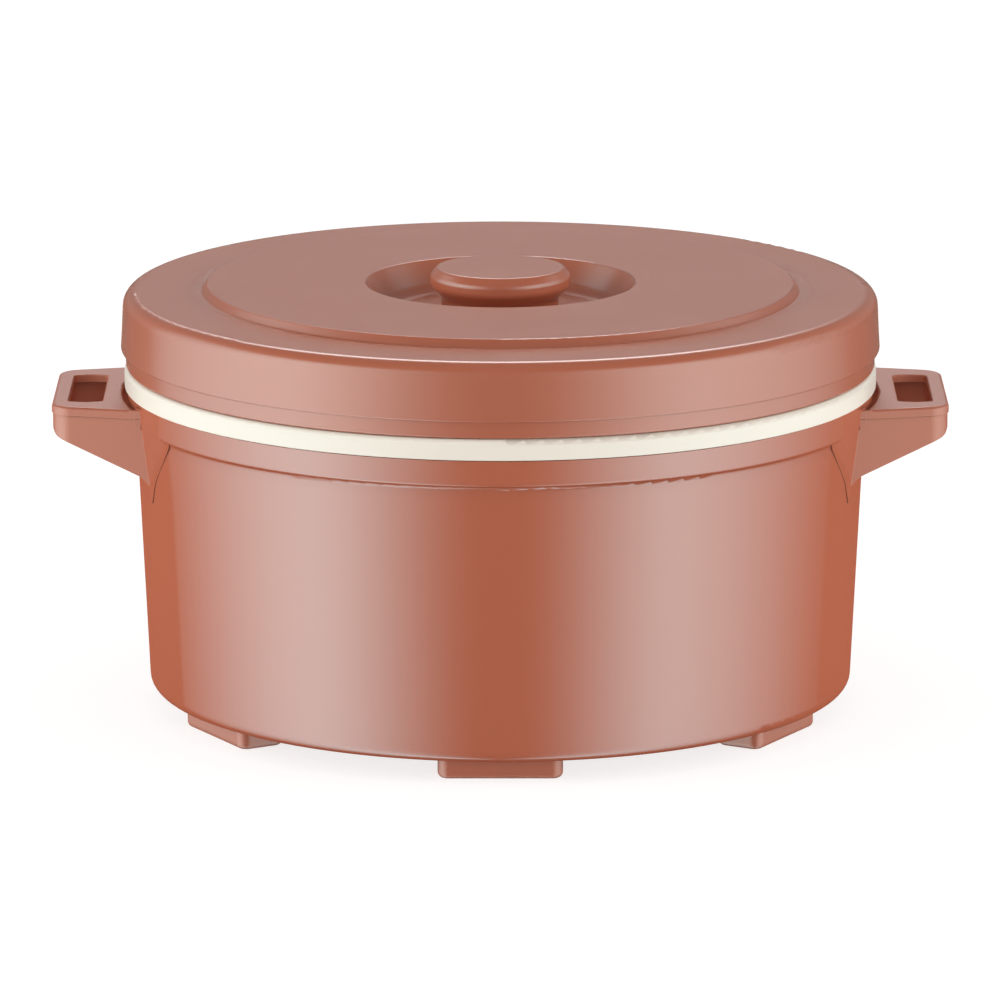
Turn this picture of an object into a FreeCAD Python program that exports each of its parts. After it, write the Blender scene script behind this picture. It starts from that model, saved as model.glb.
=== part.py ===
import FreeCAD, Part
import Sketcher

import math
import os

os.makedirs("parts", exist_ok=True)
doc = FreeCAD.newDocument("food_server")

# Driving sizes, in millimetres and degrees. The origin is on the ground under the centre; +Z is up, the
# handles lie along X, and heights are counted from the ground.
SIZES = {
    # outer casing: a drafted tub with a collar round its mouth
    "wall": 3.0,
    "base_level": 9.8,
    "base_thick": 3.5,
    "wall_radius_low": 162.7,
    "wall_radius_high": 168.8,
    "base_round": 5.5,
    "collar_low": 138.0,
    "collar_high": 150.5,
    "collar_step_rise": 1.0,
    "collar_radius": 172.2,
    "collar_edge_round": 1.6,
    "collar_hollow_round": 2.4,
    "collar_inside_low": 139.5,
    "collar_inside_high": 142.0,
    "collar_inner_radius": 167.0,
    "fill_hole_radius": 11.0,
    # flat flanks beside each handle root
    "flank_turn": 26.0,
    "flank_lean": 3.4,
    "flank_distance": 169.65,
    "flank_edge": 4.4,
    "flank_hidden_edge": -30.7,
    "flank_tail": -24.8,
    "flank_tail_level": 113.4,
    "flank_tail_round": 3.0,
    "flank_knee_level": 137.5,
    "flank_waist": -16.6,
    "flank_waist_level": 116.8,
    "flank_tip": -23.0,
    "flank_tip_level": 105.6,
    "flank_knee_round": 5.0,
    "flank_waist_round": 16.0,
    "flank_depth": 7.0,
    "flank_cut_depth": 21.0,
    "flank_seat_edge": 6.0,
    "collar_flat_edge": -1.4,
    "collar_flat_extra": 14.0,
    # six feet
    "foot_count": 6,
    "foot_outer": 152.0,
    "foot_width": 56.4,
    "foot_depth": 23.0,
    "foot_corner": 5.0,
    "foot_seat": 1.0,
    "foot_edge_round": 2.8,
    # inner pot with the flange that shows as the pale ring
    "pot_wall": 2.6,
    "pot_radius_high": 148.0,
    "pot_radius_low": 140.0,
    "pot_floor": 34.0,
    "pot_floor_round": 14.0,
    "flange_radius": 173.7,
    "flange_high": 160.5,
    "flange_thick": 2.8,
    "flange_round": 2.4,
    "flange_edge_round": 0.5,
    "flange_lift": 0.6,
    "flange_seat_width": 5.0,
    "spigot_thick": 2.4,
    "spigot_depth": 6.0,
    "spigot_gap": 0.2,
    # lid: lower shell
    "lid_wall": 2.5,
    "lid_seat_radius": 169.8,
    "lid_seat_run": 0.6,
    "lid_spigot_gap": 0.2,
    "lid_band_radius": 173.0,
    "lid_band_low": 160.8,
    "lid_band_high": 168.7,
    "lid_bead_round": 1.2,
    "lid_spigot_high": 178.0,
    "plug_radius": 146.2,
    "plug_low": 146.0,
    "plug_round": 7.0,
    "lid_fill_radius": 9.0,
    # lid: top cover
    "cover_wall": 2.8,
    "skirt_relief": 0.3,
    "skirt_edge_round": 0.8,
    "plateau_inner_shift": 1.5,
    "knob_hole_radius": 2.25,
    "skirt_radius_low": 175.3,
    "skirt_radius_high": 173.9,
    "rim_round": 6.5,
    "annulus_level": 194.9,
    "plateau_foot": 137.6,
    "plateau_crest": 135.4,
    "plateau_level": 198.4,
    "plateau_foot_round": 0.9,
    "plateau_crest_round": 0.9,
    "recess_radius": 62.3,
    "recess_floor_radius": 52.5,
    "recess_floor": 184.5,
    "recess_lip_round": 1.1,
    "recess_floor_round": 10.0,
    "lid_foam_gap": 0.5,
    "lid_foam_rim_gap": 3.0,
    # knob and its fixing
    "knob_top": 205.2,
    "knob_radius": 32.3,
    "knob_crest": 29.5,
    "knob_crest_round": 1.8,
    "knob_belly_low": 196.9,
    "knob_belly_high": 201.5,
    "knob_belly_round": 3.6,
    "knob_stem": 27.0,
    "knob_neck_level": 191.0,
    "knob_neck_round": 2.5,
    "knob_wall": 3.0,
    "knob_hollow_top": 200.8,
    "knob_post": 6.5,
    "knob_pilot": 2.1,
    "knob_pilot_top": 197.5,
    "knob_screw_shank": 2.1,
    "knob_screw_head": 4.6,
    "knob_screw_head_thick": 2.6,
    "knob_screw_tip": 196.5,
    "knob_screw_taper": 1.5,
    "knob_screw_tip_radius": 0.9,
    "washer_radius": 9.0,
    "washer_thick": 1.2,
    # handles
    "handle_end": 205.9,
    "handle_half_root": 52.3,
    "handle_root_reach": 161.5,
    "handle_half_end": 41.4,
    "handle_top": 148.0,
    "handle_lip": 4.0,
    "handle_lip_overhang": 0.5,
    "handle_corner": 11.0,
    "handle_wall": 3.0,
    "handle_plate": 3.4,
    "plate_edge_round": 1.5,
    "slot_edge_round": 0.7,
    "handle_start": 150.0,
    "slot_near": 182.8,
    "slot_far": 198.6,
    "slot_half": 29.5,
    "slot_bow": 1.8,
    "slot_bow_round": 14.0,
    "slot_corner": 2.5,
    "toe_end_reach": 206.5,
    "toe_end_level": 139.4,
    "toe_reach": 203.9,
    "toe_level": 133.8,
    "toe_round": 4.5,
    "heel_reach": 158.6,
    "heel_level": 114.4,
    "heel_round": 13.0,
    "tail_reach": 158.0,
    "tail_level": 101.0,
    "root_gap_radius": 174.5,
    "root_gap_low": 139.0,
    "root_gap_round": 3.0,
    "seat_overlap": 1.0,
    "root_web": 3.0,
    "root_web_angle": 34.0,
    "screw_spread": 24.0,
    "screw_level": 130.5,
    "screw_seat": 164.4,
    "screw_seat_radius": 5.5,
    "screw_clearance": 2.2,
    "post_radius": 4.4,
    "post_end": 181.0,
    "screw_shank": 1.9,
    "screw_pilot": 1.9,
    "screw_pilot_end": 178.0,
    "screw_head_radius": 4.0,
    "screw_head_thick": 2.4,
    "screw_head_round": 0.8,
    "screw_point": 2.0,
    "screw_tip": 177.0,
    # plugs in the two filling holes
    "plug_flange": 4.0,
    "plug_flange_thick": 1.4,
    # how far a cutting outline runs past the material
    "cut_margin": 4.0,
}

sheet = doc.addObject("Spreadsheet::Sheet", "Sizes")
for row, (alias, value) in enumerate(SIZES.items(), start=1):
    sheet.set(f"A{row}", alias.replace("_", " "))
    sheet.set(f"B{row}", str(value))
    sheet.setAlias(f"B{row}", alias)
doc.recompute()


def size(alias):
    """The value of one cell."""
    return float(sheet.get(alias))


def cells(text):
    """An expression in which each word that is an alias is read from the sheet."""
    words = []
    for word in text.split():
        words.append(f"Sizes.{word}" if word in SIZES else word)
    return " ".join(words)


def origin_plane(body, role):
    """One of the body's own origin planes."""
    return next(feature for feature in body.Origin.OriginFeatures if feature.Role == role)


def origin_axis(body, role):
    """One of the body's own origin axes."""
    return next(feature for feature in body.Origin.OriginFeatures if feature.Role == role)


def new_body(label):
    """An empty body under its own label."""
    body = doc.addObject("PartDesign::Body", label)
    body.Label = label
    return body


def empty_sketch(body, name, role, offset=None):
    """A sketch on one of the body's origin planes, or on a plane set off from it."""
    sketch = body.newObject("Sketcher::SketchObject", name)
    sketch.AttachmentSupport = (origin_plane(body, role), [""])
    sketch.MapMode = "FlatFace"
    if offset is not None:
        sketch.AttachmentOffset = offset
    return sketch


def pin_point(sketch, geometry, position, across, up):
    """Holds a point at two distances from the sketch's origin, each read from the sheet."""
    for kind, text in (("DistanceX", across), ("DistanceY", up)):
        value = float(sketch.evalExpression(cells(text)))
        index = sketch.addConstraint(Sketcher.Constraint(kind, -1, 1, geometry, position, value))
        sketch.setExpression(f"Constraints[{index}]", cells(text))


def outline(sketch, corners):
    """Draws a closed outline of straight runs. A corner is (across, up) or (across, up, radius)."""
    count = len(corners)
    points = []
    for corner in corners:
        across = float(sketch.evalExpression(cells(corner[0])))
        up = float(sketch.evalExpression(cells(corner[1])))
        points.append(FreeCAD.Vector(across, up, 0))
    starts = list(points)
    ends = list(points)
    arcs = {}
    for i, corner in enumerate(corners):
        if len(corner) < 3:
            continue
        radius = float(sketch.evalExpression(cells(corner[2])))
        back = (points[i - 1] - points[i]).normalize()
        ahead = (points[(i + 1) % count] - points[i]).normalize()
        half = back.getAngle(ahead) / 2
        reach = radius / math.tan(half)
        ends[i] = points[i] + back * reach
        starts[i] = points[i] + ahead * reach
        centre = points[i] + (back + ahead).normalize() * (radius / math.sin(half))
        turns_left = (back * -1).cross(ahead).z > 0
        first, last = (ends[i], starts[i]) if turns_left else (starts[i], ends[i])
        first_angle = math.atan2(first.y - centre.y, first.x - centre.x)
        last_angle = math.atan2(last.y - centre.y, last.x - centre.x)
        if last_angle < first_angle:
            last_angle += 2 * math.pi
        full = Part.Circle(centre, FreeCAD.Vector(0, 0, 1), radius)
        arcs[i] = (Part.ArcOfCircle(full, first_angle, last_angle), turns_left, corner[2])
    lines = []
    for i in range(count):
        line = Part.LineSegment(starts[i], ends[(i + 1) % count])
        lines.append(sketch.addGeometry(line, False))
    for i, corner in enumerate(corners):
        before, after = lines[i - 1], lines[i]
        if i not in arcs:
            sketch.addConstraint(Sketcher.Constraint("Coincident", before, 2, after, 1))
            pin_point(sketch, after, 1, corner[0], corner[1])
            continue
        shape, turns_left, radius = arcs[i]
        arc = sketch.addGeometry(shape, False)
        near, far = (1, 2) if turns_left else (2, 1)
        sketch.addConstraint(Sketcher.Constraint("Tangent", before, 2, arc, near))
        sketch.addConstraint(Sketcher.Constraint("Tangent", after, 1, arc, far))
        value = float(sketch.evalExpression(cells(radius)))
        index = sketch.addConstraint(Sketcher.Constraint("Radius", arc, value))
        sketch.setExpression(f"Constraints[{index}]", cells(radius))
        point = sketch.addGeometry(Part.Point(points[i]), True)
        pin_point(sketch, point, 1, corner[0], corner[1])
        sketch.addConstraint(Sketcher.Constraint("PointOnObject", point, 1, before))
        sketch.addConstraint(Sketcher.Constraint("PointOnObject", point, 1, after))
    return sketch


def circle(sketch, across, up, radius):
    """Draws one circle whose centre and radius are read from the sheet."""
    x = float(sketch.evalExpression(cells(across)))
    y = float(sketch.evalExpression(cells(up)))
    value = float(sketch.evalExpression(cells(radius)))
    shape = Part.Circle(FreeCAD.Vector(x, y, 0), FreeCAD.Vector(0, 0, 1), value)
    geometry = sketch.addGeometry(shape, False)
    pin_point(sketch, geometry, 3, across, up)
    index = sketch.addConstraint(Sketcher.Constraint("Radius", geometry, value))
    sketch.setExpression(f"Constraints[{index}]", cells(radius))


def turned(body, name, corners, kind="Revolution"):
    """A full turn of an outline in the XZ plane about Z, added to the body or cut from it."""
    sketch = outline(empty_sketch(body, name + "_outline", "XZ_Plane"), corners)
    feature = body.newObject("PartDesign::" + kind, name)
    feature.Profile = sketch
    feature.ReferenceAxis = (sketch, ["V_Axis"])
    feature.Angle = 360.0
    doc.recompute()
    return feature


def extruded(body, name, kind, sketch, length, both_ways=False, backwards=False):
    """A pad or pocket of the sketch by a length from the sheet."""
    feature = body.newObject("PartDesign::" + kind, name)
    feature.Profile = sketch
    feature.Type = 0
    feature.Midplane = both_ways
    feature.Reversed = backwards
    feature.setExpression("Length", cells(length))
    doc.recompute()
    return feature


def must_cut(body, feature, before):
    """Stops the build where a cut took nothing away."""
    if feature.Shape.Volume > before - 1.0:
        raise RuntimeError(f"{feature.Name} of {body.Label} cuts nothing")


def level_sketch(body, name, level):
    """A sketch level with the ground, at a height from the sheet."""
    sketch = empty_sketch(body, name, "XY_Plane")
    sketch.setExpression("AttachmentOffset.Base.z", cells(level))
    doc.recompute()
    return sketch


# Outer surface of the casing below the collar: the radius of the drafted wall at a height.
WALL_SLOPE = "( wall_radius_high - wall_radius_low ) / ( collar_low - base_level )"


def wall_radius(level, less="0"):
    """Radius of the drafted wall at a height, less a thickness."""
    return f"wall_radius_low + {WALL_SLOPE} * ( {level} - base_level ) - {less}"


def flank_plane(side, hand):
    """The plane of one flat flank: side is +1 or -1 along X, and hand is +1 or -1 along Y."""
    draft = math.atan2(
        size("wall_radius_high") - size("wall_radius_low"),
        size("collar_low") - size("base_level"),
    )
    lean = draft + math.radians(size("flank_lean"))
    turn = math.radians(size("flank_turn"))
    outward = FreeCAD.Vector(
        side * math.cos(turn) * math.cos(lean),
        hand * math.sin(turn) * math.cos(lean),
        -math.sin(lean),
    )
    along = FreeCAD.Vector(-side * math.sin(turn), hand * math.cos(turn), 0) * (side * hand)
    up = outward.cross(along)
    middle = FreeCAD.Vector(side * math.cos(turn), hand * math.sin(turn), 0)
    drop = size("collar_low") / up.z
    base = middle * size("flank_distance") + FreeCAD.Vector(0, 0, size("collar_low")) - up * drop
    frame = FreeCAD.Matrix(
        along.x, up.x, outward.x, base.x,
        along.y, up.y, outward.y, base.y,
        along.z, up.z, outward.z, base.z,
        0, 0, 0, 1,
    )
    return FreeCAD.Placement(frame)


def flanks():
    """The four flat flanks: side along X, hand along Y."""
    for side in (1, -1):
        for hand in (1, -1):
            yield side, hand


def mirrored_corners(corners, mirror):
    """The same corners, or their mirror image, as expressions."""
    if mirror > 0:
        return corners
    return [(f"-1 * ( {corner[0]} )", *corner[1:]) for corner in corners]


# How near two levels or edges are taken as the same.
NEAR = 0.01


def edge_names(shape, chosen):
    """The names of the edges whose bounding boxes are chosen."""
    names = []
    for number, edge in enumerate(shape.Edges, start=1):
        if chosen(edge.BoundBox):
            names.append(f"Edge{number}")
    return names


def lies_level(box, level):
    """Whether a bounding box lies in the level plane at a height."""
    return abs(box.ZMin - level) < NEAR and abs(box.ZMax - level) < NEAR


def rounded_edges(body, name, chosen, radius):
    """Eases the chosen edges of the body with one radius from the sheet."""
    base = body.Tip
    names = edge_names(base.Shape, chosen)
    if not names:
        raise RuntimeError(f"{name} of {body.Label} finds no edge")
    feature = body.newObject("PartDesign::Fillet", name)
    feature.Base = (base, names)
    feature.setExpression("Radius", cells(radius))
    doc.recompute()


def draw_foot(sketch):
    """One foot in plan: a block across the front with rounded corners."""
    outline(sketch, [
        ("-1 * foot_width / 2", "-1 * foot_outer", "foot_corner"),
        ("foot_width / 2", "-1 * foot_outer", "foot_corner"),
        ("foot_width / 2", "foot_depth - foot_outer", "foot_corner"),
        ("-1 * foot_width / 2", "foot_depth - foot_outer", "foot_corner"),
    ])


def make_outer_casing():
    """The brown tub: drafted wall, rounded base edge, collar, and flat flanks where the handles seat."""
    body = new_body("outer_casing")
    turned(body, "casing_solid", [
        ("0", "base_level"),
        ("wall_radius_low", "base_level", "base_round"),
        ("wall_radius_high", "collar_low", "collar_hollow_round"),
        ("collar_radius", "collar_low + collar_step_rise", "collar_edge_round"),
        ("collar_radius", "collar_high"),
        ("0", "collar_high"),
    ])
    for index, (side, hand) in enumerate(flanks(), start=1):
        mirror = side * hand
        plane = flank_plane(side, hand)
        sketch = empty_sketch(body, f"collar_flat_{index}_outline", "XY_Plane", plane)
        outline(sketch, mirrored_corners([
            ("flank_hidden_edge - collar_flat_extra", "collar_low - cut_margin"),
            ("collar_flat_edge", "collar_low - cut_margin"),
            ("collar_flat_edge", "collar_high + cut_margin"),
            ("flank_hidden_edge - collar_flat_extra", "collar_high + cut_margin"),
        ], mirror))
        before = body.Shape.Volume
        cut = extruded(body, f"collar_flat_{index}", "Pocket", sketch, "flank_cut_depth", False, True)
        must_cut(body, cut, before)
        sketch = empty_sketch(body, f"flank_{index}_outline", "XY_Plane", plane)
        outline(sketch, mirrored_corners([
            ("flank_hidden_edge", "collar_high - collar_step_rise"),
            ("flank_hidden_edge", "heel_level"),
            ("flank_tail", "flank_tail_level", "flank_tail_round"),
            ("flank_tip", "flank_tip_level"),
            ("flank_waist", "flank_waist_level", "flank_waist_round"),
            ("flank_edge", "flank_knee_level", "flank_knee_round"),
            ("flank_edge", "collar_high - collar_step_rise"),
        ], mirror))
        extruded(body, f"flank_{index}", "Pad", sketch, "flank_depth", False, True)
    before = body.Shape.Volume
    cut = turned(body, "casing_hollow", [
        ("0", "base_level + base_thick"),
        (wall_radius("base_level", "wall"), "base_level + base_thick", "base_round"),
        (wall_radius("collar_inside_low", "wall"), "collar_inside_low"),
        ("collar_inner_radius", "collar_inside_high"),
        ("collar_inner_radius", "collar_high + cut_margin"),
        ("0", "collar_high + cut_margin"),
    ], "Groove")
    must_cut(body, cut, before)
    sketch = level_sketch(body, "foot_seat_outline", "base_level")
    draw_foot(sketch)
    before = body.Shape.Volume
    seat = extruded(body, "foot_seat_pocket", "Pocket", sketch, "foot_seat", False, True)
    pattern = body.newObject("PartDesign::PolarPattern", "foot_seats")
    pattern.Originals = [seat]
    pattern.Axis = (origin_axis(body, "Z_Axis"), [""])
    pattern.Angle = 360.0
    pattern.setExpression("Occurrences", cells("foot_count"))
    body.Tip = pattern
    doc.recompute()
    must_cut(body, pattern, before)
    sketch = level_sketch(body, "fill_hole_outline", "base_level - cut_margin")
    circle(sketch, "0", "0", "fill_hole_radius")
    before = body.Shape.Volume
    cut = extruded(body, "fill_hole", "Pocket", sketch, "base_thick + 2 * cut_margin", False, True)
    must_cut(body, cut, before)
    for name, radius, reach in (
        ("screw_seats", "screw_seat_radius", "screw_seat"),
        ("screw_holes", "screw_clearance", "collar_radius + cut_margin"),
    ):
        sketch = empty_sketch(body, name + "_outline", "YZ_Plane")
        circle(sketch, "screw_spread", "screw_level", radius)
        circle(sketch, "-1 * screw_spread", "screw_level", radius)
        before = body.Shape.Volume
        cut = extruded(body, name, "Pocket", sketch, f"2 * ( {reach} )", True)
        must_cut(body, cut, before)
    return body


def make_foot(label, angle):
    """One foot, seated in a shallow pocket of the base."""
    body = new_body(label)
    sketch = empty_sketch(body, label + "_outline", "XY_Plane")
    draw_foot(sketch)
    extruded(body, label + "_block", "Pad", sketch, "base_level + foot_seat")
    rounded_edges(body, label + "_edge", lambda box: lies_level(box, 0), "foot_edge_round")
    body.Placement = FreeCAD.Placement(
        FreeCAD.Vector(0, 0, 0),
        FreeCAD.Rotation(FreeCAD.Vector(0, 0, 1), angle),
    )
    return body


def make_inner_pot():
    """The pale inner pot. Its flange lies on the collar and shows as the ring under the lid."""
    body = new_body("inner_pot")
    turned(body, "pot_shell", [
        ("0", "pot_floor"),
        ("pot_radius_low", "pot_floor", "pot_floor_round"),
        ("pot_radius_high", "flange_high", "flange_round"),
        ("flange_radius", "flange_high", "flange_round"),
        ("flange_radius", "collar_high + flange_lift", "flange_edge_round"),
        ("flange_radius - flange_seat_width", "collar_high"),
        ("collar_inner_radius - spigot_gap", "collar_high"),
        ("collar_inner_radius - spigot_gap", "collar_high - spigot_depth"),
        ("collar_inner_radius - spigot_gap - spigot_thick", "collar_high - spigot_depth"),
        ("collar_inner_radius - spigot_gap - spigot_thick", "flange_high - flange_thick"),
        ("pot_radius_high + pot_wall", "flange_high - flange_thick"),
        ("pot_radius_low + pot_wall", "pot_floor - pot_wall", "pot_floor_round + pot_wall"),
        ("0", "pot_floor - pot_wall"),
    ])
    return body


def make_body_insulation(screws):
    """Foam that fills the space between the casing and the pot, round the heads of the handle screws."""
    body = new_body("body_foam_block")
    turned(body, "foam_solid", [
        ("0", "base_level + base_thick"),
        (wall_radius("base_level", "wall"), "base_level + base_thick", "base_round"),
        (wall_radius("collar_inside_low", "wall"), "collar_inside_low"),
        ("collar_inner_radius", "collar_inside_high"),
        ("collar_inner_radius", "collar_high - spigot_depth"),
        ("collar_inner_radius - spigot_gap - spigot_thick", "collar_high - spigot_depth"),
        ("collar_inner_radius - spigot_gap - spigot_thick", "flange_high - flange_thick"),
        ("pot_radius_high + pot_wall", "flange_high - flange_thick"),
        ("pot_radius_low + pot_wall", "pot_floor - pot_wall", "pot_floor_round + pot_wall"),
        ("0", "pot_floor - pot_wall"),
    ])
    piece = body
    for number, tool in enumerate(screws, start=1):
        cut = doc.addObject("Part::Cut", f"foam_round_screws_{number}")
        cut.Base = piece
        cut.Tool = tool
        piece = cut
    piece.Label = "body_insulation"
    return piece


def make_plug(label, hole, level, thick):
    """A press-in plug for a filling hole: a stem as long as the wall is thick, and a thin round flange."""
    body = new_body(label)
    outer = f"{level} - plug_flange_thick"
    turned(body, label + "_shape", [
        ("0", outer),
        (f"{hole} + plug_flange", outer),
        (f"{hole} + plug_flange", level),
        (hole, level),
        (hole, f"{level} + {thick}"),
        ("0", f"{level} + {thick}"),
    ])
    return body


def make_lid_liner():
    """The lid's lower shell: a tray whose rim shows as the narrow band, and whose plug enters the pot."""
    body = new_body("lid_liner")
    turned(body, "liner_shell", [
        ("0", "plug_low"),
        ("plug_radius", "plug_low", "plug_round"),
        ("plug_radius", "flange_high"),
        ("lid_seat_radius", "flange_high"),
        ("lid_seat_radius + lid_seat_run", "lid_band_low"),
        ("lid_band_radius", "lid_band_low", "lid_bead_round"),
        ("lid_band_radius", "lid_band_high"),
        ("skirt_radius_high - cover_wall - lid_spigot_gap", "lid_band_high"),
        ("skirt_radius_high - cover_wall - lid_spigot_gap", "lid_spigot_high"),
        ("skirt_radius_high - cover_wall - lid_spigot_gap - lid_wall", "lid_spigot_high"),
        ("skirt_radius_high - cover_wall - lid_spigot_gap - lid_wall", "flange_high + lid_wall"),
        ("plug_radius - lid_wall", "flange_high + lid_wall"),
        ("plug_radius - lid_wall", "plug_low + lid_wall", "plug_round - lid_wall"),
        ("0", "plug_low + lid_wall"),
    ])
    sketch = level_sketch(body, "liner_hole_outline", "plug_low - cut_margin")
    circle(sketch, "0", "0", "lid_fill_radius")
    before = body.Shape.Volume
    cut = extruded(body, "liner_hole", "Pocket", sketch, "lid_wall + 2 * cut_margin", False, True)
    must_cut(body, cut, before)
    return body


def make_lid_cover():
    """The lid's top: skirt, rounded rim, raised middle and the round dished recess for the knob."""
    body = new_body("lid_cover")
    turned(body, "cover_shell", [
        ("knob_hole_radius", "recess_floor"),
        ("recess_floor_radius", "recess_floor", "recess_floor_round"),
        ("recess_radius", "plateau_level", "recess_lip_round"),
        ("plateau_crest", "plateau_level", "plateau_crest_round"),
        ("plateau_foot", "annulus_level", "plateau_foot_round"),
        ("skirt_radius_high", "annulus_level", "rim_round"),
        ("skirt_radius_low", "lid_band_high", "skirt_edge_round"),
        ("skirt_radius_low - cover_wall - skirt_relief", "lid_band_high"),
        ("skirt_radius_high - cover_wall", "annulus_level - cover_wall", "rim_round - cover_wall"),
        ("plateau_foot - plateau_inner_shift", "annulus_level - cover_wall"),
        ("plateau_crest - plateau_inner_shift", "plateau_level - cover_wall"),
        ("recess_radius + cover_wall", "plateau_level - cover_wall"),
        ("recess_floor_radius + cover_wall", "recess_floor - cover_wall", "recess_floor_round"),
        ("knob_hole_radius", "recess_floor - cover_wall"),
    ])
    return body


def make_lid_insulation(screws):
    """Foam that fills the lid between its two shells, round the knob's screw head and washer."""
    body = new_body("lid_foam_block")
    rim_inside = "skirt_radius_high - cover_wall - lid_spigot_gap - lid_wall"
    turned(body, "lid_foam_solid", [
        ("0", "plug_low + lid_wall"),
        ("plug_radius - lid_wall", "plug_low + lid_wall", "plug_round - lid_wall"),
        ("plug_radius - lid_wall", "flange_high + lid_wall"),
        (rim_inside, "flange_high + lid_wall"),
        (rim_inside, "annulus_level - cover_wall - lid_foam_rim_gap"),
        ("plateau_foot - plateau_inner_shift", "annulus_level - cover_wall - lid_foam_gap"),
        ("plateau_crest - plateau_inner_shift", "plateau_level - cover_wall - lid_foam_gap"),
        ("recess_radius + cover_wall", "plateau_level - cover_wall - lid_foam_gap"),
        ("recess_floor_radius + cover_wall", "recess_floor - cover_wall", "recess_floor_round"),
        ("0", "recess_floor - cover_wall"),
    ])
    piece = body
    for number, tool in enumerate(screws, start=1):
        cut = doc.addObject("Part::Cut", f"lid_foam_round_fixing_{number}")
        cut.Base = piece
        cut.Tool = tool
        piece = cut
    piece.Label = "lid_insulation"
    return piece


def make_knob():
    """The mushroom knob: a hollow cap on a wide stem, with a post for its screw."""
    body = new_body("lid_knob")
    turned(body, "knob_solid", [
        ("0", "recess_floor"),
        ("knob_stem", "recess_floor"),
        ("knob_stem", "knob_neck_level", "knob_neck_round"),
        ("knob_radius", "knob_belly_low", "knob_belly_round"),
        ("knob_radius", "knob_belly_high", "knob_belly_round"),
        ("knob_crest", "knob_top", "knob_crest_round"),
        ("0", "knob_top"),
    ])
    before = body.Shape.Volume
    cut = turned(body, "knob_hollow", [
        ("knob_post", "recess_floor - cut_margin"),
        ("knob_stem - knob_wall", "recess_floor - cut_margin"),
        ("knob_stem - knob_wall", "knob_hollow_top"),
        ("knob_post", "knob_hollow_top"),
    ], "Groove")
    must_cut(body, cut, before)
    before = body.Shape.Volume
    cut = turned(body, "knob_pilot_hole", [
        ("0", "recess_floor - cut_margin"),
        ("knob_pilot", "recess_floor - cut_margin"),
        ("knob_pilot", "knob_pilot_top"),
        ("0", "knob_pilot_top"),
    ], "Groove")
    must_cut(body, cut, before)
    return body


def make_knob_washer():
    """A flat washer under the knob's screw head."""
    body = new_body("knob_washer")
    turned(body, "washer_ring", [
        ("knob_screw_shank", "recess_floor - cover_wall - washer_thick"),
        ("washer_radius", "recess_floor - cover_wall - washer_thick"),
        ("washer_radius", "recess_floor - cover_wall"),
        ("knob_screw_shank", "recess_floor - cover_wall"),
    ])
    return body


def make_knob_screw():
    """The screw that holds the knob, driven up from inside the lid."""
    body = new_body("knob_screw")
    seat = "recess_floor - cover_wall - washer_thick"
    turned(body, "knob_screw_shape", [
        ("0", f"{seat} - knob_screw_head_thick"),
        ("knob_screw_head", f"{seat} - knob_screw_head_thick", "screw_head_round"),
        ("knob_screw_head", seat),
        ("knob_screw_shank", seat),
        ("knob_screw_shank", "knob_screw_tip - knob_screw_taper"),
        ("knob_screw_tip_radius", "knob_screw_tip"),
        ("0", "knob_screw_tip"),
    ])
    return body


def handle_plan(sketch, inset, start):
    """A handle in plan: a tapered tongue with rounded outer corners, set in by a distance."""
    slope = "( handle_half_root - handle_half_end ) / ( handle_end - handle_root_reach )"
    half_start = f"handle_half_root + ( handle_root_reach - {start} ) * {slope} - {inset}"
    half_end = f"handle_half_end - {inset}"
    corner = f"handle_corner - {inset}"
    outline(sketch, [
        (start, f"-1 * ( {half_start} )"),
        (f"handle_end - {inset}", f"-1 * ( {half_end} )", corner),
        (f"handle_end - {inset}", half_end, corner),
        (start, half_start),
    ])


def draw_slot(sketch):
    """The finger slot: straight long sides and ends that bow outward."""
    outline(sketch, [
        ("slot_near", "-1 * slot_half", "slot_corner"),
        ("( slot_near + slot_far ) / 2", "-1 * slot_half - slot_bow", "slot_bow_round"),
        ("slot_far", "-1 * slot_half", "slot_corner"),
        ("slot_far", "slot_half", "slot_corner"),
        ("( slot_near + slot_far ) / 2", "slot_half + slot_bow", "slot_bow_round"),
        ("slot_near", "slot_half", "slot_corner"),
    ])


def add_root_web(body, label):
    """The wall that lies against the casing between the side walls, with two posts for the screws."""
    sketch = outline(empty_sketch(body, label + "_web_outline", "XZ_Plane"), [
        ("handle_start", "tail_level"),
        ("wall_radius_high + root_web", "tail_level"),
        ("wall_radius_high + root_web", "root_gap_low"),
        ("handle_start", "root_gap_low"),
    ])
    feature = body.newObject("PartDesign::Revolution", label + "_web")
    feature.Profile = sketch
    feature.ReferenceAxis = (sketch, ["V_Axis"])
    feature.Midplane = True
    feature.setExpression("Angle", cells("root_web_angle"))
    doc.recompute()
    sketch = empty_sketch(body, label + "_posts_outline", "YZ_Plane")
    circle(sketch, "screw_spread", "screw_level", "post_radius")
    circle(sketch, "-1 * screw_spread", "screw_level", "post_radius")
    extruded(body, label + "_posts", "Pad", sketch, "post_end")


def on_slot_rim(box):
    """Whether an edge lies round the slot in the handle's top face."""
    beyond_near = box.XMin > size("slot_near") - NEAR
    before_far = box.XMax < size("slot_far") + NEAR
    return lies_level(box, size("handle_top")) and beyond_near and before_far


def on_plate_rim(box):
    """Whether an edge lies round the plate in the handle's top face, outside the slot's eased rim."""
    rim = size("slot_edge_round") + NEAR
    in_slot = box.XMin > size("slot_near") - rim and box.XMax < size("slot_far") + rim
    return lies_level(box, size("handle_top")) and not in_slot


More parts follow.
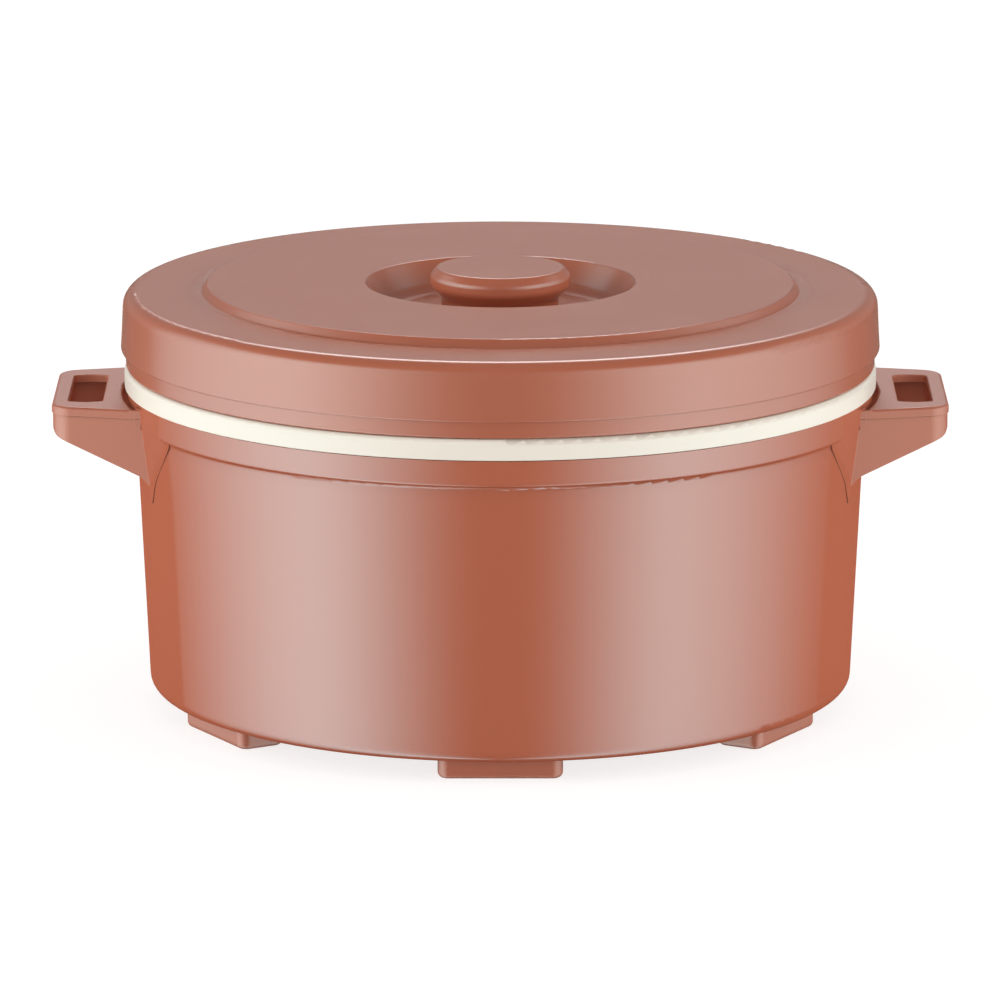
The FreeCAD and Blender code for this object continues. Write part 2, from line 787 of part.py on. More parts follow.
def make_handle(label, angle):
    """One side handle: a slotted plate on tapering walls, hollow and open below, seated on the casing."""
    body = new_body(label)
    sketch = level_sketch(body, label + "_wall_outline", "tail_level")
    handle_plan(sketch, "handle_lip_overhang", "handle_start")
    extruded(body, label + "_walls", "Pad", sketch, "handle_top - handle_lip - tail_level")
    sketch = level_sketch(body, label + "_plate_outline", "handle_top - handle_lip")
    handle_plan(sketch, "0", "handle_start")
    extruded(body, label + "_plate", "Pad", sketch, "handle_lip")

    sketch = level_sketch(body, label + "_hollow_outline", "handle_top - handle_plate")
    handle_plan(sketch, "( handle_lip_overhang + handle_wall )", "handle_start")
    before = body.Shape.Volume
    cut = extruded(body, label + "_hollow", "Pocket", sketch, "handle_top - tail_level")
    must_cut(body, cut, before)

    add_root_web(body, label)

    sketch = empty_sketch(body, label + "_side_outline", "XZ_Plane")
    outline(sketch, [
        ("handle_start - cut_margin", "tail_level - cut_margin"),
        ("tail_reach", "tail_level - cut_margin"),
        ("heel_reach", "heel_level", "heel_round"),
        ("toe_reach", "toe_level", "toe_round"),
        ("toe_end_reach", "toe_end_level"),
        ("toe_end_reach + cut_margin", "toe_end_level"),
        ("toe_end_reach + cut_margin", "tail_level - cut_margin"),
    ])
    before = body.Shape.Volume
    cut = extruded(body, label + "_underside", "Pocket", sketch, "4 * handle_half_root", True)
    must_cut(body, cut, before)

    sketch = level_sketch(body, label + "_slot_outline", "handle_top + cut_margin")
    draw_slot(sketch)
    before = body.Shape.Volume
    cut = extruded(body, label + "_slot", "Pocket", sketch, "handle_lip + handle_plate + cut_margin")
    must_cut(body, cut, before)

    before = body.Shape.Volume
    cut = turned(body, label + "_root_gap", [
        ("handle_start - cut_margin", "root_gap_low"),
        ("root_gap_radius", "root_gap_low", "root_gap_round"),
        ("root_gap_radius", "handle_top + cut_margin"),
        ("handle_start - cut_margin", "handle_top + cut_margin"),
    ], "Groove")
    must_cut(body, cut, before)
    before = body.Shape.Volume
    cut = turned(body, label + "_seat", [
        ("0", "tail_level - cut_margin"),
        (wall_radius("tail_level - cut_margin"), "tail_level - cut_margin"),
        ("wall_radius_high", "collar_low", "collar_hollow_round"),
        ("collar_radius", "collar_low + collar_step_rise"),
        ("collar_radius", "root_gap_low + seat_overlap"),
        ("0", "root_gap_low + seat_overlap"),
    ], "Groove")
    must_cut(body, cut, before)
    for hand in (1, -1):
        name = f"{label}_flank_seat_{'back' if hand > 0 else 'front'}"
        sketch = empty_sketch(body, name + "_outline", "XY_Plane", flank_plane(1, hand))
        outline(sketch, mirrored_corners([
            ("flank_hidden_edge - seat_overlap", "tail_level - cut_margin"),
            ("flank_seat_edge", "tail_level - cut_margin"),
            ("flank_seat_edge", "root_gap_low + seat_overlap"),
            ("flank_hidden_edge - seat_overlap", "root_gap_low + seat_overlap"),
        ], hand))
        extruded(body, name, "Pocket", sketch, "flank_cut_depth")
    sketch = empty_sketch(body, label + "_pilot_outline", "YZ_Plane")
    circle(sketch, "screw_spread", "screw_level", "screw_pilot")
    circle(sketch, "-1 * screw_spread", "screw_level", "screw_pilot")
    before = body.Shape.Volume
    cut = extruded(body, label + "_pilots", "Pocket", sketch, "screw_pilot_end", False, True)
    must_cut(body, cut, before)
    rounded_edges(body, label + "_slot_edge", on_slot_rim, "slot_edge_round")
    rounded_edges(body, label + "_plate_edge", on_plate_rim, "plate_edge_round")
    body.Placement = FreeCAD.Placement(
        FreeCAD.Vector(0, 0, 0),
        FreeCAD.Rotation(FreeCAD.Vector(0, 0, 1), angle),
    )
    return body


def make_handle_screws(label, side):
    """The two screws of one handle, driven outward from inside the casing before it is foamed."""
    screws = []
    for hand in (1, -1):
        name = f"{label}_{'back' if hand > 0 else 'front'}"
        body = new_body(name)
        turned(body, name + "_shape", [
            ("0", "screw_seat - screw_head_thick"),
            ("screw_head_radius", "screw_seat - screw_head_thick", "screw_head_round"),
            ("screw_head_radius", "screw_seat"),
            ("screw_shank", "screw_seat"),
            ("screw_shank", "screw_tip - screw_point"),
            ("0", "screw_tip"),
        ])
        body.Placement = FreeCAD.Placement(
            FreeCAD.Vector(0, hand * size("screw_spread"), size("screw_level")),
            FreeCAD.Rotation(FreeCAD.Vector(0, 1, 0), side * 90),
        )
        screws.append(body)
    group = doc.addObject("Part::Compound", label)
    group.Links = screws
    group.Label = label
    return group


right_screws = make_handle_screws("right_handle_screws", 1)
left_screws = make_handle_screws("left_handle_screws", -1)
knob_washer = make_knob_washer()
knob_screw = make_knob_screw()
doc.recompute()

pieces = [
    make_outer_casing(),
    make_inner_pot(),
    make_body_insulation([right_screws, left_screws]),
    make_plug("base_plug", "fill_hole_radius", "base_level", "base_thick"),
    make_handle("right_handle", 0),
    make_handle("left_handle", 180),
    right_screws,
    left_screws,
    make_lid_cover(),
    make_lid_liner(),
    make_lid_insulation([knob_washer, knob_screw]),
    make_plug("lid_plug", "lid_fill_radius", "plug_low", "lid_wall"),
    make_knob(),
    knob_washer,
    knob_screw,
]
feet = [
    "foot_front",
    "foot_front_right",
    "foot_back_right",
    "foot_back",
    "foot_back_left",
    "foot_front_left",
]
for number, foot in enumerate(feet):
    pieces.append(make_foot(foot, number * 360 / size("foot_count")))
doc.recompute()

for item in doc.Objects:
    if "Invalid" in item.State or "Error" in item.State:
        raise RuntimeError(f"{item.Label} failed: {item.State}")
for piece in pieces:
    shape = piece.Shape
    if shape.isNull() or not shape.isValid():
        raise RuntimeError(f"{piece.Label} has no valid shape")
    print(f"{piece.Label}: {len(shape.Solids)} solid(s), {shape.Volume / 1000:.1f} cm3")
for piece in pieces:
    piece.Shape.exportStep(f"parts/{piece.Label}.step")
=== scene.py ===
import itertools
import math

import bpy
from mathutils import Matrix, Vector


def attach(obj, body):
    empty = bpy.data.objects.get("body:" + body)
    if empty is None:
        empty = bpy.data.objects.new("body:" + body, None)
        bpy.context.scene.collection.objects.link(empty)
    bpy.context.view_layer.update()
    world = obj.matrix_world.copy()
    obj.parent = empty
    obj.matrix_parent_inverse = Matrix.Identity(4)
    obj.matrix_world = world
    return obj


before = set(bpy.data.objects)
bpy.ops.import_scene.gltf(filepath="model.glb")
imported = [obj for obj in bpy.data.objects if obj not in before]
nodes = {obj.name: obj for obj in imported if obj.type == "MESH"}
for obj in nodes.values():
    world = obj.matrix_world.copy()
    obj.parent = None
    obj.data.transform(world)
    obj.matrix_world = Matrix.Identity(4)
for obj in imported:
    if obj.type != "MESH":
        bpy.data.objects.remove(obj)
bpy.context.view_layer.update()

# The picture is 1000 by 1000 pixels. The camera stands in front and looks slightly down.
PICTURE_WIDTH = 1000
CAMERA_DISTANCE_Y = 3.758
CAMERA_HEIGHT = 0.9298
CAMERA_TILT = math.radians(12.526)
FOCAL_PIXELS = 8291
AXIS_PIXEL_X = 500.3
SENSOR_WIDTH = 36.0


def make_camera():
    """The camera at the picture's viewing angle, with the object's axis at its own pixel column."""
    data = bpy.data.cameras.new("camera")
    data.sensor_width = SENSOR_WIDTH
    data.lens = FOCAL_PIXELS / PICTURE_WIDTH * SENSOR_WIDTH
    data.shift_x = (PICTURE_WIDTH / 2 - AXIS_PIXEL_X) / PICTURE_WIDTH
    data.clip_end = 50
    camera = bpy.data.objects.new("camera", data)
    camera.location = (0, -CAMERA_DISTANCE_Y, CAMERA_HEIGHT)
    camera.rotation_euler = (math.pi / 2 - CAMERA_TILT, 0, 0)
    bpy.context.scene.collection.objects.link(camera)
    bpy.context.scene.camera = camera


def new_material(name):
    """An empty node material. Returns it with its node tree and its output node."""
    material = bpy.data.materials.new(name)
    material.use_nodes = True
    tree = material.node_tree
    tree.nodes.clear()
    output = tree.nodes.new("ShaderNodeOutputMaterial")
    return material, tree, output


def add_noise(tree, coordinates, scale, detail):
    """A noise texture over the object's own coordinates. The scale is in marks per metre."""
    noise = tree.nodes.new("ShaderNodeTexNoise")
    noise.inputs["Scale"].default_value = scale
    noise.inputs["Detail"].default_value = detail
    tree.links.new(coordinates.outputs["Object"], noise.inputs["Vector"])
    return noise


def add_range(tree, source, low, high):
    """Maps a 0 to 1 value to low to high."""
    node = tree.nodes.new("ShaderNodeMapRange")
    node.inputs["To Min"].default_value = low
    node.inputs["To Max"].default_value = high
    tree.links.new(source, node.inputs["Value"])
    return node.outputs["Result"]


def add_math(tree, operation, first, second):
    """A math node over two values, each a number or a socket."""
    node = tree.nodes.new("ShaderNodeMath")
    node.operation = operation
    for socket, value in zip(node.inputs, (first, second)):
        if isinstance(value, (int, float)):
            socket.default_value = value
        else:
            tree.links.new(value, socket)
    return node.outputs[0]


def product(tree, *factors):
    """All the factors multiplied together."""
    total = factors[0]
    for factor in factors[1:]:
        total = add_math(tree, "MULTIPLY", total, factor)
    return total


def inverse(tree, value):
    """1 less the value."""
    return add_math(tree, "SUBTRACT", 1.0, value)


def add_step(tree, value, low, high):
    """0 below low, 1 above high, and smooth between them."""
    node = tree.nodes.new("ShaderNodeMapRange")
    node.interpolation_type = "SMOOTHSTEP"
    node.inputs["From Min"].default_value = low
    node.inputs["From Max"].default_value = high
    tree.links.new(value, node.inputs["Value"])
    return node.outputs["Result"]


def add_colour_mix(tree, factor, first, second):
    """A colour between two, each a plain colour or a socket."""
    node = tree.nodes.new("ShaderNodeMix")
    node.data_type = "RGBA"
    tree.links.new(factor, node.inputs[0])
    for socket, value in zip((node.inputs[6], node.inputs[7]), (first, second)):
        if isinstance(value, tuple):
            socket.default_value = (*value, 1)
        else:
            tree.links.new(value, socket)
    return node.outputs[2]


def add_bump(tree, height, strength, distance, below=None):
    """A bump from a height, on top of the bump below it."""
    node = tree.nodes.new("ShaderNodeBump")
    node.inputs["Strength"].default_value = strength
    node.inputs["Distance"].default_value = distance
    tree.links.new(height, node.inputs["Height"])
    if below is not None:
        tree.links.new(below, node.inputs["Normal"])
    return node.outputs["Normal"]


# The first is how often a wiping mark ends on the way round, the second how many lie side by side.
STREAK_ENDS = 2.2
STREAKS_PER_METRE = 900.0
STREAK_DETAIL = 2.0


def add_round_streaks(tree, coordinates):
    """Fine marks that run round the object's upright axis, as wiping leaves them."""
    flat = tree.nodes.new("ShaderNodeVectorMath")
    flat.operation = "MULTIPLY"
    flat.inputs[1].default_value = (1, 1, 0)
    tree.links.new(coordinates.outputs["Object"], flat.inputs[0])
    reach = tree.nodes.new("ShaderNodeVectorMath")
    reach.operation = "LENGTH"
    tree.links.new(flat.outputs["Vector"], reach.inputs[0])
    heading = tree.nodes.new("ShaderNodeVectorMath")
    heading.operation = "NORMALIZE"
    tree.links.new(flat.outputs["Vector"], heading.inputs[0])
    along = tree.nodes.new("ShaderNodeVectorMath")
    along.operation = "SCALE"
    along.inputs["Scale"].default_value = STREAK_ENDS
    tree.links.new(heading.outputs["Vector"], along.inputs[0])
    height = tree.nodes.new("ShaderNodeSeparateXYZ")
    tree.links.new(coordinates.outputs["Object"], height.inputs[0])
    across = add_math(tree, "ADD", reach.outputs["Value"], height.outputs["Z"])
    lift = tree.nodes.new("ShaderNodeCombineXYZ")
    tree.links.new(add_math(tree, "MULTIPLY", across, STREAKS_PER_METRE), lift.inputs["Z"])
    place = tree.nodes.new("ShaderNodeVectorMath")
    place.operation = "ADD"
    tree.links.new(along.outputs["Vector"], place.inputs[0])
    tree.links.new(lift.outputs["Vector"], place.inputs[1])
    noise = tree.nodes.new("ShaderNodeTexNoise")
    noise.inputs["Scale"].default_value = 1.0
    noise.inputs["Detail"].default_value = STREAK_DETAIL
    tree.links.new(place.outputs["Vector"], noise.inputs["Vector"])
    return noise.outputs["Fac"]


EDGE_REACH = 0.0007
EDGE_SAMPLES = 4
EDGE_TURN = (0.02, 0.16)
RUB_SCALE = 60.0
RUB_RANGE = (0.2, 0.9)


def add_worn_highlit_edges(tree, coordinates):
    """1 where an edge is rubbed and lightened as a painted highlight, broken up by noise, and 0 on open
    surfaces.
    """
    rounded = tree.nodes.new("ShaderNodeBevel")
    rounded.samples = EDGE_SAMPLES
    rounded.inputs["Radius"].default_value = EDGE_REACH
    surface = tree.nodes.new("ShaderNodeNewGeometry")
    agree = tree.nodes.new("ShaderNodeVectorMath")
    agree.operation = "DOT_PRODUCT"
    tree.links.new(rounded.outputs["Normal"], agree.inputs[0])
    tree.links.new(surface.outputs["Normal"], agree.inputs[1])
    turn = add_math(tree, "SUBTRACT", 1.0, agree.outputs["Value"])
    edge = add_step(tree, turn, *EDGE_TURN)
    patches = add_noise(tree, coordinates, RUB_SCALE, 4.0)
    rubbed = add_range(tree, patches.outputs["Fac"], *RUB_RANGE)
    return add_math(tree, "MULTIPLY", edge, rubbed)


CORNER_REACH = 0.007
CORNER_SAMPLES = 6
CORNER_OPENNESS = (0.45, 0.95)


def add_corners(tree):
    """1 deep in an inner corner and 0 on open surfaces. There the colour darkens as painted shade and the
    gloss dies away.
    """
    shelter = tree.nodes.new("ShaderNodeAmbientOcclusion")
    shelter.samples = CORNER_SAMPLES
    shelter.only_local = True
    shelter.inputs["Distance"].default_value = CORNER_REACH
    return inverse(tree, add_step(tree, shelter.outputs["AO"], *CORNER_OPENNESS))


PLASTIC_IOR = 1.5
MOTTLE_SCALE = 9.0
MOTTLE_DARKER = 0.965
MOTTLE_LIGHTER = 1.035
# The first two darken the colour deep in inner corners as painted shade; the dulling roughens the gloss
# there.
PAINTED_CORNER_SHADE = 0.40
PAINTED_CORNER_SHADE_COVER = 0.85
DUST_DULLING = 0.45
SMUDGE_SCALE = 26.0
SMUDGE_RANGE = (0.88, 1.12)
WIPING_RANGE = (-0.03, 0.03)
RUB_DULLING = 0.08
RIPPLE_SCALE = 14.0
RIPPLE_STRENGTH = 0.3
GRAIN_SCALE = 1400.0
GRAIN_STRENGTH = 0.03
GRAIN_DEPTH = 0.0001


def moulded_plastic(name, colour, edge_wear_and_highlight_colour, roughness, gloss, ripple_depth, even_gloss=0.0):
    """Smooth moulded plastic: faint flow mottle, wiping marks, a soft ripple, fine grain, edges lightened
    by wear and a painted highlight, and painted shade in inner corners.

    An even gloss is the same at every angle, so the soft boxes don't burn out along the outlines.
    """
    material, tree, output = new_material(name)
    shader = tree.nodes.new("ShaderNodeBsdfPrincipled")
    shader.inputs["IOR"].default_value = PLASTIC_IOR
    shader.inputs["Specular IOR Level"].default_value = gloss
    mirror = tree.nodes.new("ShaderNodeBsdfGlossy")
    mirror.inputs["Color"].default_value = (even_gloss, even_gloss, even_gloss, 1)
    both = tree.nodes.new("ShaderNodeAddShader")
    tree.links.new(shader.outputs["BSDF"], both.inputs[0])
    tree.links.new(mirror.outputs["BSDF"], both.inputs[1])
    tree.links.new(both.outputs[0], output.inputs["Surface"])
    coordinates = tree.nodes.new("ShaderNodeTexCoord")

    flow = add_noise(tree, coordinates, MOTTLE_SCALE, 4.0)
    darker = tuple(part * MOTTLE_DARKER for part in colour)
    lighter = tuple(part * MOTTLE_LIGHTER for part in colour)
    shade = add_colour_mix(tree, flow.outputs["Fac"], darker, lighter)
    worn_and_highlit = add_worn_highlit_edges(tree, coordinates)
    corners = add_corners(tree)
    # Edges lighten, partly wear and partly a painted highlight.
    rubbed_and_highlit_shade = add_colour_mix(tree, worn_and_highlit, shade, edge_wear_and_highlight_colour)
    # Painted shade: the colour darkens deep in inner corners.
    corner_shade_colour = tuple(part * PAINTED_CORNER_SHADE for part in colour)
    painted_corner_shade = product(tree, corners, PAINTED_CORNER_SHADE_COVER)
    tree.links.new(add_colour_mix(tree, painted_corner_shade, rubbed_and_highlit_shade, corner_shade_colour), shader.inputs["Base Color"])

    streaks = add_round_streaks(tree, coordinates)
    smudge = add_noise(tree, coordinates, SMUDGE_SCALE, 3.0)
    smudged = add_range(tree, smudge.outputs["Fac"], *(roughness * end for end in SMUDGE_RANGE))
    wiped = add_range(tree, streaks, *(roughness * end for end in WIPING_RANGE))
    rubbed = add_math(tree, "MULTIPLY", worn_and_highlit, RUB_DULLING)
    matt = add_math(tree, "ADD", add_math(tree, "ADD", smudged, wiped), rubbed)
    dulled = add_math(tree, "ADD", matt, product(tree, corners, DUST_DULLING))
    tree.links.new(dulled, shader.inputs["Roughness"])
    tree.links.new(dulled, mirror.inputs["Roughness"])

    ripple = add_noise(tree, coordinates, RIPPLE_SCALE, 1.0)
    grain = add_noise(tree, coordinates, GRAIN_SCALE, 2.0)
    normal = add_bump(tree, ripple.outputs["Fac"], RIPPLE_STRENGTH, ripple_depth)
    normal = add_bump(tree, grain.outputs["Fac"], GRAIN_STRENGTH, GRAIN_DEPTH, normal)
    tree.links.new(normal, shader.inputs["Normal"])
    tree.links.new(normal, mirror.inputs["Normal"])
    return material


FOAM_ROUGHNESS = 0.85
FOAM_CELLS = 700
FOAM_DARK = (0.62, 0.50, 0.26)
FOAM_LIGHT = (0.80, 0.70, 0.45)
FOAM_CELL_STRENGTH = 0.5
FOAM_CELL_DEPTH = 0.0004


def foam():
    """Pale rigid foam with small cells."""
    material, tree, output = new_material("rigid_foam")
    shader = tree.nodes.new("ShaderNodeBsdfPrincipled")
    shader.inputs["Roughness"].default_value = FOAM_ROUGHNESS
    tree.links.new(shader.outputs["BSDF"], output.inputs["Surface"])
    coordinates = tree.nodes.new("ShaderNodeTexCoord")
    cells = tree.nodes.new("ShaderNodeTexVoronoi")
    cells.inputs["Scale"].default_value = FOAM_CELLS
    tree.links.new(coordinates.outputs["Object"], cells.inputs["Vector"])
    depth = cells.outputs["Distance"]
    tree.links.new(add_colour_mix(tree, depth, FOAM_DARK, FOAM_LIGHT), shader.inputs["Base Color"])
    normal = add_bump(tree, depth, FOAM_CELL_STRENGTH, FOAM_CELL_DEPTH)
    tree.links.new(normal, shader.inputs["Normal"])
    return material


STEEL_DARK = (0.50, 0.50, 0.49)
STEEL_LIGHT = (0.66, 0.66, 0.64)
STEEL_TINT_SCALE = 300.0
STEEL_MARK_SCALE = 2500.0
STEEL_ROUGHNESS = (0.25, 0.42)


def plated_steel():
    """Zinc-plated steel with fine turning marks."""
    material, tree, output = new_material("plated_steel")
    shader = tree.nodes.new("ShaderNodeBsdfPrincipled")
    shader.inputs["Metallic"].default_value = 1.0
    tree.links.new(shader.outputs["BSDF"], output.inputs["Surface"])
    coordinates = tree.nodes.new("ShaderNodeTexCoord")
    tint = add_noise(tree, coordinates, STEEL_TINT_SCALE, 3.0)
    colour = add_colour_mix(tree, tint.outputs["Fac"], STEEL_DARK, STEEL_LIGHT)
    tree.links.new(colour, shader.inputs["Base Color"])
    marks = add_noise(tree, coordinates, STEEL_MARK_SCALE, 2.0)
    tree.links.new(add_range(tree, marks.outputs["Fac"], *STEEL_ROUGHNESS), shader.inputs["Roughness"])
    return material


BROWN = (0.375, 0.108, 0.058)
# Edge colours: lighter at the edges, partly wear and partly a painted highlight.
BROWN_EDGE_WEAR_AND_HIGHLIGHT = (0.51, 0.205, 0.13)
CREAM = (0.75, 0.705, 0.62)
CREAM_EDGE_WEAR_AND_HIGHLIGHT = (0.82, 0.77, 0.68)

# Each plastic: colour, edges lightened by wear and a painted highlight, roughness, gloss, ripple in metres
# and, on the body, even gloss.
BODY_PLASTIC = (BROWN, BROWN_EDGE_WEAR_AND_HIGHLIGHT, 0.07, 0.0, 0.00015, 0.045)
LID_PLASTIC = (BROWN, BROWN_EDGE_WEAR_AND_HIGHLIGHT, 0.25, 0.5, 0.0004)
HANDLE_PLASTIC = (BROWN, BROWN_EDGE_WEAR_AND_HIGHLIGHT, 0.38, 0.5, 0.0002)
POT_PLASTIC = (CREAM, CREAM_EDGE_WEAR_AND_HIGHLIGHT, 0.32, 0.18, 0.0003)
POT_SHADOW_EASE = 0.5


def dress(names, material):
    """Gives one material to each named CAD node."""
    for name in names:
        piece = nodes[name]
        piece.data.materials.clear()
        piece.data.materials.append(material)


def dress_everything():
    """Every CAD node gets its own kind of material."""
    body_brown = moulded_plastic("body_brown", *BODY_PLASTIC)
    lid_brown = moulded_plastic("lid_brown", *LID_PLASTIC)
    handle_brown = moulded_plastic("handle_brown", *HANDLE_PLASTIC)
    pot_cream = moulded_plastic("pot_cream", *POT_PLASTIC)
    feet = [name for name in nodes if name.startswith("foot_")]
    dress(["outer_casing", "base_plug"], body_brown)
    dress(["lid_cover", "lid_liner", "lid_plug", "lid_knob"], lid_brown)
    dress(["right_handle", "left_handle", *feet], handle_brown)
    make_root_webs("right_handle_root_webs", 1, handle_brown)
    make_root_webs("left_handle_root_webs", -1, handle_brown)
    dress(["inner_pot"], pot_cream)
    nodes["inner_pot"].cycles.shadow_terminator_geometry_offset = POT_SHADOW_EASE
    dress(["body_insulation", "lid_insulation"], foam())
    dress(["knob_washer", "knob_screw", "right_handle_screws", "left_handle_screws"], plated_steel())


# Each level of a web: its bottom, its top and how far its lip stands out.
WEB_LEVELS = ((0.1368, 0.1441, 0.0), (0.1441, 0.1478, 0.0005))
WEB_REACH = (0.1642, 0.1700)
WEB_THICKNESS = 0.0028
WALL_REACH = 0.1687
WALL_HALF_WIDTH = 0.0499
WALL_TAPER = 0.2484
WEB_EDGE = 0.0003


def make_root_webs(name, side, material):
    """A handle's two side walls and their lips run on to the casing, past the gap behind its top plate."""
    mesh = bpy.data.meshes.new(name)
    points = []
    faces = []
    for end, (bottom, top, lip) in itertools.product((-1, 1), WEB_LEVELS):
        first = len(points)
        for reach in WEB_REACH:
            outside = WALL_HALF_WIDTH + lip - (reach - WALL_REACH) * WALL_TAPER
            for half_width in (outside, outside - WEB_THICKNESS):
                points += [(side * reach, end * half_width, level) for level in (bottom, top)]
        block = [(0, 1, 3, 2), (4, 6, 7, 5), (0, 4, 5, 1), (2, 3, 7, 6), (0, 2, 6, 4), (1, 5, 7, 3)]
        turned = side * end > 0
        for corners in block:
            ordered = corners[::-1] if turned else corners
            faces.append([first + corner for corner in ordered])
    mesh.from_pydata(points, [], faces)
    mesh.materials.append(material)
    webs = bpy.data.objects.new(name, mesh)
    bpy.context.scene.collection.objects.link(webs)
    soft = webs.modifiers.new("soft_edges", "BEVEL")
    soft.width = WEB_EDGE
    soft.segments = 2
    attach(webs, "pot")


def camera_ray(tree):
    """The Is Camera Ray value."""
    return tree.nodes.new("ShaderNodeLightPath").outputs["Is Camera Ray"]


FLOOR_SIZE = 30.0
FLOOR_GLOW = 0.78
FLOOR_COLOUR = 0.32
FLOOR_BOUNCE = 0.90


def make_floor():
    """A plain pale floor that shows as white, and still takes the object's soft shadow."""
    mesh = bpy.data.meshes.new("floor")
    half = FLOOR_SIZE / 2
    corners = [(-half, -half, 0), (half, -half, 0), (half, half, 0), (-half, half, 0)]
    mesh.from_pydata(corners, [], [(0, 1, 2, 3)])
    floor = bpy.data.objects.new("floor", mesh)
    floor.visible_glossy = False
    bpy.context.scene.collection.objects.link(floor)
    material, tree, output = new_material("floor_paper")
    paper = tree.nodes.new("ShaderNodeBsdfDiffuse")
    paper.inputs["Color"].default_value = (FLOOR_BOUNCE, FLOOR_BOUNCE, FLOOR_BOUNCE, 1)
    shown_paper = tree.nodes.new("ShaderNodeBsdfDiffuse")
    shown_paper.inputs["Color"].default_value = (FLOOR_COLOUR, FLOOR_COLOUR, FLOOR_COLOUR, 1)
    glow = tree.nodes.new("ShaderNodeEmission")
    glow.inputs["Strength"].default_value = FLOOR_GLOW
    shown = tree.nodes.new("ShaderNodeAddShader")
    tree.links.new(shown_paper.outputs[0], shown.inputs[0])
    tree.links.new(glow.outputs[0], shown.inputs[1])
    choice = tree.nodes.new("ShaderNodeMixShader")
    tree.links.new(camera_ray(tree), choice.inputs[0])
    tree.links.new(paper.outputs[0], choice.inputs[1])
    tree.links.new(shown.outputs[0], choice.inputs[2])
    tree.links.new(choice.outputs[0], output.inputs["Surface"])
    mesh.materials.append(material)


# Edges of light are pairs of angles in degrees, above the horizon or away from the camera.
FILL_COLOUR = (1, 0.985, 0.97)
FILL_LOW = 1.75
FILL_MIDDLE = 0.35
FILL_HIGH = 0.90
FILL_LOW_EDGE = (12, 40)
FILL_HIGH_EDGE = (45, 75)
SOFT_BOX_COLOUR = (0.60, 0.95, 1.0)
SOFT_BOX_TOP = (26, 44)
BACK_BOX_GLOW = 7.8
BACK_BOX_BOTTOM = (24, 30)
BACK_BOX_TOP = (40, 48)
BACK_BOX_SIDE = (7, 16)
BACKDROP_GLOW = 0.33
BACKDROP_START = (-0.2, 0.6)
HORIZON = (-0.02, 0.05)
FRONT_GLOW = 0.15
SOFT_BOXES = (
    {"side": -1, "glow": 7.2, "near": (5, 66), "far": (60, 148), "end": (128, 130)},
    {"side": 1, "glow": 6.0, "near": (5, 60), "far": (52, 142), "end": (128, 130)},
)


def add_angle_step(tree, angle, edge):
    """0 before an edge, given as two angles in degrees, and 1 after it."""
    return add_step(tree, angle, math.radians(edge[0]), math.radians(edge[1]))


def add_soft_box(tree, box, turn, rise, across):
    """One tall soft box. Its light grows and fades with the angle from the camera, and ends sharply."""
    near = add_angle_step(tree, turn, box["near"])
    far = add_angle_step(tree, turn, box["far"])
    end = add_angle_step(tree, turn, box["end"])
    top = add_angle_step(tree, rise, SOFT_BOX_TOP)
    side = add_math(tree, "GREATER_THAN", add_math(tree, "MULTIPLY", across, float(box["side"])), 0.0)
    limits = [inverse(tree, edge) for edge in (far, end, top)]
    return product(tree, box["glow"], side, near, *limits)


def add_back_box(tree, turn, rise):
    """A small bright box high up behind the object, which lines its upper edges with light."""
    bottom = add_angle_step(tree, rise, BACK_BOX_BOTTOM)
    top = add_angle_step(tree, rise, BACK_BOX_TOP)
    aside = add_math(tree, "SUBTRACT", math.pi, turn)
    side = add_angle_step(tree, aside, BACK_BOX_SIDE)
    return product(tree, BACK_BOX_GLOW, bottom, inverse(tree, top), inverse(tree, side))


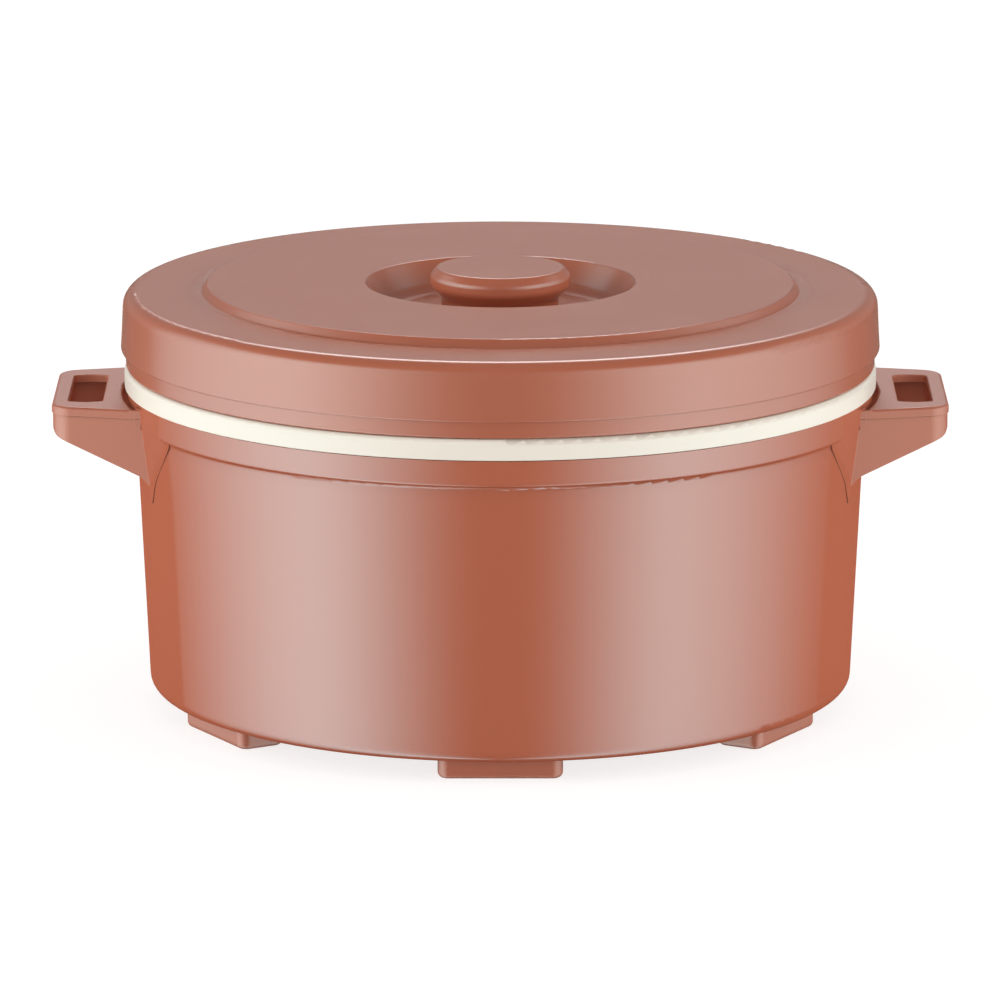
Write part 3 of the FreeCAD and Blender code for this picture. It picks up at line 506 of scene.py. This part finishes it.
def make_world():
    """White behind the object, soft boxes where gloss reflects, and an even soft light from all round."""
    world = bpy.data.worlds.new("studio")
    bpy.context.scene.world = world
    world.use_nodes = True
    world.cycles.sampling_method = "NONE"
    tree = world.node_tree
    tree.nodes.clear()
    output = tree.nodes.new("ShaderNodeOutputWorld")
    direction = tree.nodes.new("ShaderNodeTexCoord")
    parts = tree.nodes.new("ShaderNodeSeparateXYZ")
    tree.links.new(direction.outputs["Generated"], parts.inputs[0])
    across, away, up = (parts.outputs[name] for name in "XYZ")
    rise = add_math(tree, "ARCSINE", up, 0.0)
    sideways = add_math(tree, "ABSOLUTE", across, 0.0)
    turn = add_math(tree, "ARCTAN2", sideways, add_math(tree, "MULTIPLY", away, -1.0))

    boxes = add_math(tree, "ADD", *[add_soft_box(tree, box, turn, rise, across) for box in SOFT_BOXES])
    behind = add_step(tree, away, *BACKDROP_START)
    above = add_step(tree, rise, *HORIZON)
    backdrop = product(tree, BACKDROP_GLOW - FRONT_GLOW, behind, above)
    back_box = add_back_box(tree, turn, rise)
    plain = add_math(tree, "ADD", add_math(tree, "ADD", backdrop, FRONT_GLOW), back_box)

    boxes_light = tree.nodes.new("ShaderNodeBackground")
    boxes_light.inputs["Color"].default_value = (*SOFT_BOX_COLOUR, 1)
    tree.links.new(boxes, boxes_light.inputs["Strength"])
    plain_light = tree.nodes.new("ShaderNodeBackground")
    tree.links.new(plain, plain_light.inputs["Strength"])
    plain_light.inputs["Color"].default_value = (1, 1, 1, 1)
    studio = tree.nodes.new("ShaderNodeAddShader")
    tree.links.new(boxes_light.outputs[0], studio.inputs[0])
    tree.links.new(plain_light.outputs[0], studio.inputs[1])

    fill = tree.nodes.new("ShaderNodeBackground")
    fill.inputs["Color"].default_value = (*FILL_COLOUR, 1)
    low = product(tree, FILL_LOW - FILL_MIDDLE, inverse(tree, add_angle_step(tree, rise, FILL_LOW_EDGE)))
    high = product(tree, FILL_HIGH - FILL_MIDDLE, add_angle_step(tree, rise, FILL_HIGH_EDGE))
    even = add_math(tree, "ADD", add_math(tree, "ADD", low, high), FILL_MIDDLE)
    tree.links.new(even, fill.inputs["Strength"])
    white = tree.nodes.new("ShaderNodeBackground")
    white.inputs["Color"].default_value = (1, 1, 1, 1)
    white.inputs["Strength"].default_value = 1.0

    rays = tree.nodes.new("ShaderNodeLightPath")
    unlit = tree.nodes.new("ShaderNodeMixShader")
    tree.links.new(rays.outputs["Is Glossy Ray"], unlit.inputs[0])
    tree.links.new(fill.outputs[0], unlit.inputs[1])
    tree.links.new(studio.outputs[0], unlit.inputs[2])
    seen = tree.nodes.new("ShaderNodeMixShader")
    tree.links.new(rays.outputs["Is Camera Ray"], seen.inputs[0])
    tree.links.new(unlit.outputs[0], seen.inputs[1])
    tree.links.new(white.outputs[0], seen.inputs[2])
    tree.links.new(seen.outputs[0], output.inputs["Surface"])


LIGHT_REACH = 2.1
LIGHT_FORWARD = 0.45
LIGHT_HEIGHT = 0.45
LIGHT_WIDTH = 1.3
LIGHT_TALLNESS = 1.7
LIGHT_TARGET = (0, 0, 0.1)
LEFT_POWER = 21
RIGHT_POWER = 18


def make_side_light(name, side, power):
    """A rectangular soft box at one side that faces the object. Neither the camera nor gloss shows it."""
    data = bpy.data.lights.new(name, "AREA")
    data.shape = "RECTANGLE"
    data.size = LIGHT_WIDTH
    data.size_y = LIGHT_TALLNESS
    data.energy = power
    light = bpy.data.objects.new(name, data)
    light.location = (side * LIGHT_REACH, -LIGHT_FORWARD, LIGHT_HEIGHT)
    light.rotation_euler = (Vector(LIGHT_TARGET) - light.location).to_track_quat("-Z", "Y").to_euler()
    light.visible_camera = False
    light.visible_glossy = False
    bpy.context.scene.collection.objects.link(light)


def make_lights():
    """Two tall soft boxes, one at each side. Their gloss is in the world."""
    make_side_light("soft_box_left", -1, LEFT_POWER)
    make_side_light("soft_box_right", 1, RIGHT_POWER)


make_camera()
dress_everything()
make_floor()
make_world()
make_lights()

settings = bpy.context.scene.view_settings
settings.view_transform = "Standard"
